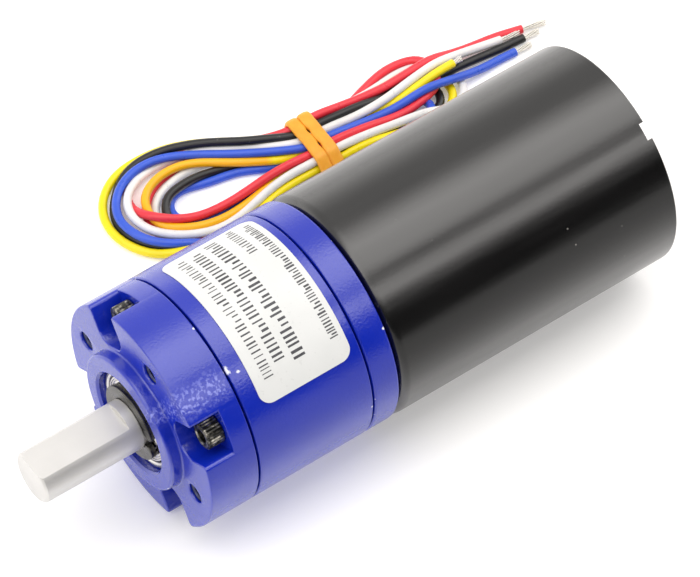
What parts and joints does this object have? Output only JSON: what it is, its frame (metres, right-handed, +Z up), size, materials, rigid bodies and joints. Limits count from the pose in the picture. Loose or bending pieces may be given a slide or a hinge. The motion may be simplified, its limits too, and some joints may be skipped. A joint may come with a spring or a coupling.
{
  "type": "geared dc motor",
  "caption": "Cylindrical planetary geared dc motor with a D-cut output shaft, a faced and notched front housing and a banded hank of bare-ended leads.",
  "frame": {"origin": "on the surface that the motor lies on, under the centre of the motor's box without its leads", "axes": "+X along the output shaft towards its tip, +Z up, the hank of leads on the -Y side"},
  "size_m": [0.1166, 0.0691, 0.0361],
  "materials": {
    "blue_paint": "gloss blue paint with a slight orange peel",
    "black_paint": "satin black paint",
    "shaft_steel": "ground and nickel plated",
    "bearing_steel": "ground",
    "black_steel": "black oxide",
    "gear_steel": "cut teeth, oiled",
    "lamination": "stacked laminations",
    "magnet": "sintered ring magnet",
    "copper": "enamelled copper wire",
    "board": "green solder mask",
    "black_plastic": "moulded",
    "fibre": "pressed fibre",
    "rubber": "moulded",
    "label_paper": null,
    "yellow_insulation": "PVC wire insulation",
    "black_insulation": "PVC wire insulation",
    "blue_insulation": "PVC wire insulation",
    "white_insulation": "PVC wire insulation",
    "red_insulation": "PVC wire insulation",
    "tinned_copper": "tinned strands",
    "band": "elastic band"
  },
  "bodies": {
    "housing": {"front_housing": "blue_paint", "ring_gear_housing": "blue_paint", "motor_adapter_plate": "blue_paint", "housing_screw_1": "black_steel", "housing_screw_2": "black_steel", "housing_screw_3": "black_steel", "housing_screw_4": "black_steel", "motor_screw_1": "black_steel", "motor_screw_2": "black_steel", "product_label": "label_paper", "front_bearing_outer_ring": "bearing_steel", "inner_bearing_outer_ring": "bearing_steel", "motor_front_bearing_outer_ring": "bearing_steel", "motor_rear_bearing_outer_ring": "bearing_steel", "front_bearing_shield": "bearing_steel", "output_thrust_washer": "fibre", "motor_can": "black_paint", "stator_core": "lamination", "stator_winding": "copper", "driver_board": "board", "rear_end_cap": "black_plastic", "wire_grommet": "rubber", "yellow_lead": "yellow_insulation", "yellow_lead_end": "yellow_insulation", "black_lead": "black_insulation", "black_lead_end": "black_insulation", "blue_lead": "blue_insulation", "blue_lead_end": "blue_insulation", "white_lead": "white_insulation", "white_lead_end": "white_insulation", "red_lead": "red_insulation", "red_lead_end": "red_insulation", "lead_hank": "red_insulation", "hank_band": "band"},
    "output": {"output_shaft": "shaft_steel", "output_circlip": "black_steel", "front_bearing_inner_ring": "bearing_steel", "inner_bearing_inner_ring": "bearing_steel", "output_carrier": "gear_steel", "output_planet_pin_1": "bearing_steel", "output_planet_pin_2": "bearing_steel", "output_planet_pin_3": "bearing_steel"},
    "output_planet_1": {"output_planet_1": "gear_steel"},
    "output_planet_2": {"output_planet_2": "gear_steel"},
    "output_planet_3": {"output_planet_3": "gear_steel"},
    "first_carrier": {"first_stage_carrier": "gear_steel", "second_stage_sun": "gear_steel", "first_planet_pin_1": "bearing_steel", "first_planet_pin_2": "bearing_steel", "first_planet_pin_3": "bearing_steel"},
    "first_planet_1": {"first_planet_1": "gear_steel"},
    "first_planet_2": {"first_planet_2": "gear_steel"},
    "first_planet_3": {"first_planet_3": "gear_steel"},
    "rotor": {"motor_shaft": "shaft_steel", "motor_pinion": "gear_steel", "rotor_core": "lamination", "rotor_magnet": "magnet", "motor_front_bearing_inner_ring": "bearing_steel", "motor_rear_bearing_inner_ring": "bearing_steel"}
  },
  "joints": [
    {"name": "output_spin", "type": "hinge", "parent": "housing", "child": "output", "pos_m": [0.0325, 0, 0.018], "axis": [1, 0, 0], "continuous": true},
    {"name": "first_carrier_spin", "type": "hinge", "parent": "housing", "child": "first_carrier", "pos_m": [0.0111, 0, 0.018], "axis": [1, 0, 0], "continuous": true},
    {"name": "rotor_spin", "type": "hinge", "parent": "housing", "child": "rotor", "pos_m": [-0.0225, 0, 0.018], "axis": [1, 0, 0], "continuous": true},
    {"name": "output_planet_1_spin", "type": "hinge", "parent": "output", "child": "output_planet_1", "pos_m": [0.0152, 0, 0.02678], "axis": [1, 0, 0], "continuous": true},
    {"name": "output_planet_2_spin", "type": "hinge", "parent": "output", "child": "output_planet_2", "pos_m": [0.0152, -0.0076, 0.01361], "axis": [1, 0, 0], "continuous": true},
    {"name": "output_planet_3_spin", "type": "hinge", "parent": "output", "child": "output_planet_3", "pos_m": [0.0152, 0.0076, 0.01361], "axis": [1, 0, 0], "continuous": true},
    {"name": "first_planet_1_spin", "type": "hinge", "parent": "first_carrier", "child": "first_planet_1", "pos_m": [0.0074, 0, 0.02678], "axis": [1, 0, 0], "continuous": true},
    {"name": "first_planet_2_spin", "type": "hinge", "parent": "first_carrier", "child": "first_planet_2", "pos_m": [0.0074, -0.0076, 0.01361], "axis": [1, 0, 0], "continuous": true},
    {"name": "first_planet_3_spin", "type": "hinge", "parent": "first_carrier", "child": "first_planet_3", "pos_m": [0.0074, 0.0076, 0.01361], "axis": [1, 0, 0], "continuous": true}
  ],
  "couplings": [
    {"joint": "first_carrier_spin", "follows": "output_spin", "ratio": 3.7143},
    {"joint": "rotor_spin", "follows": "output_spin", "ratio": 13.796},
    {"joint": "output_planet_1_spin", "follows": "output_spin", "ratio": -3.1667},
    {"joint": "output_planet_2_spin", "follows": "output_spin", "ratio": -3.1667},
    {"joint": "output_planet_3_spin", "follows": "output_spin", "ratio": -3.1667},
    {"joint": "first_planet_1_spin", "follows": "output_spin", "ratio": -11.762},
    {"joint": "first_planet_2_spin", "follows": "output_spin", "ratio": -11.762},
    {"joint": "first_planet_3_spin", "follows": "output_spin", "ratio": -11.762}
  ]
}
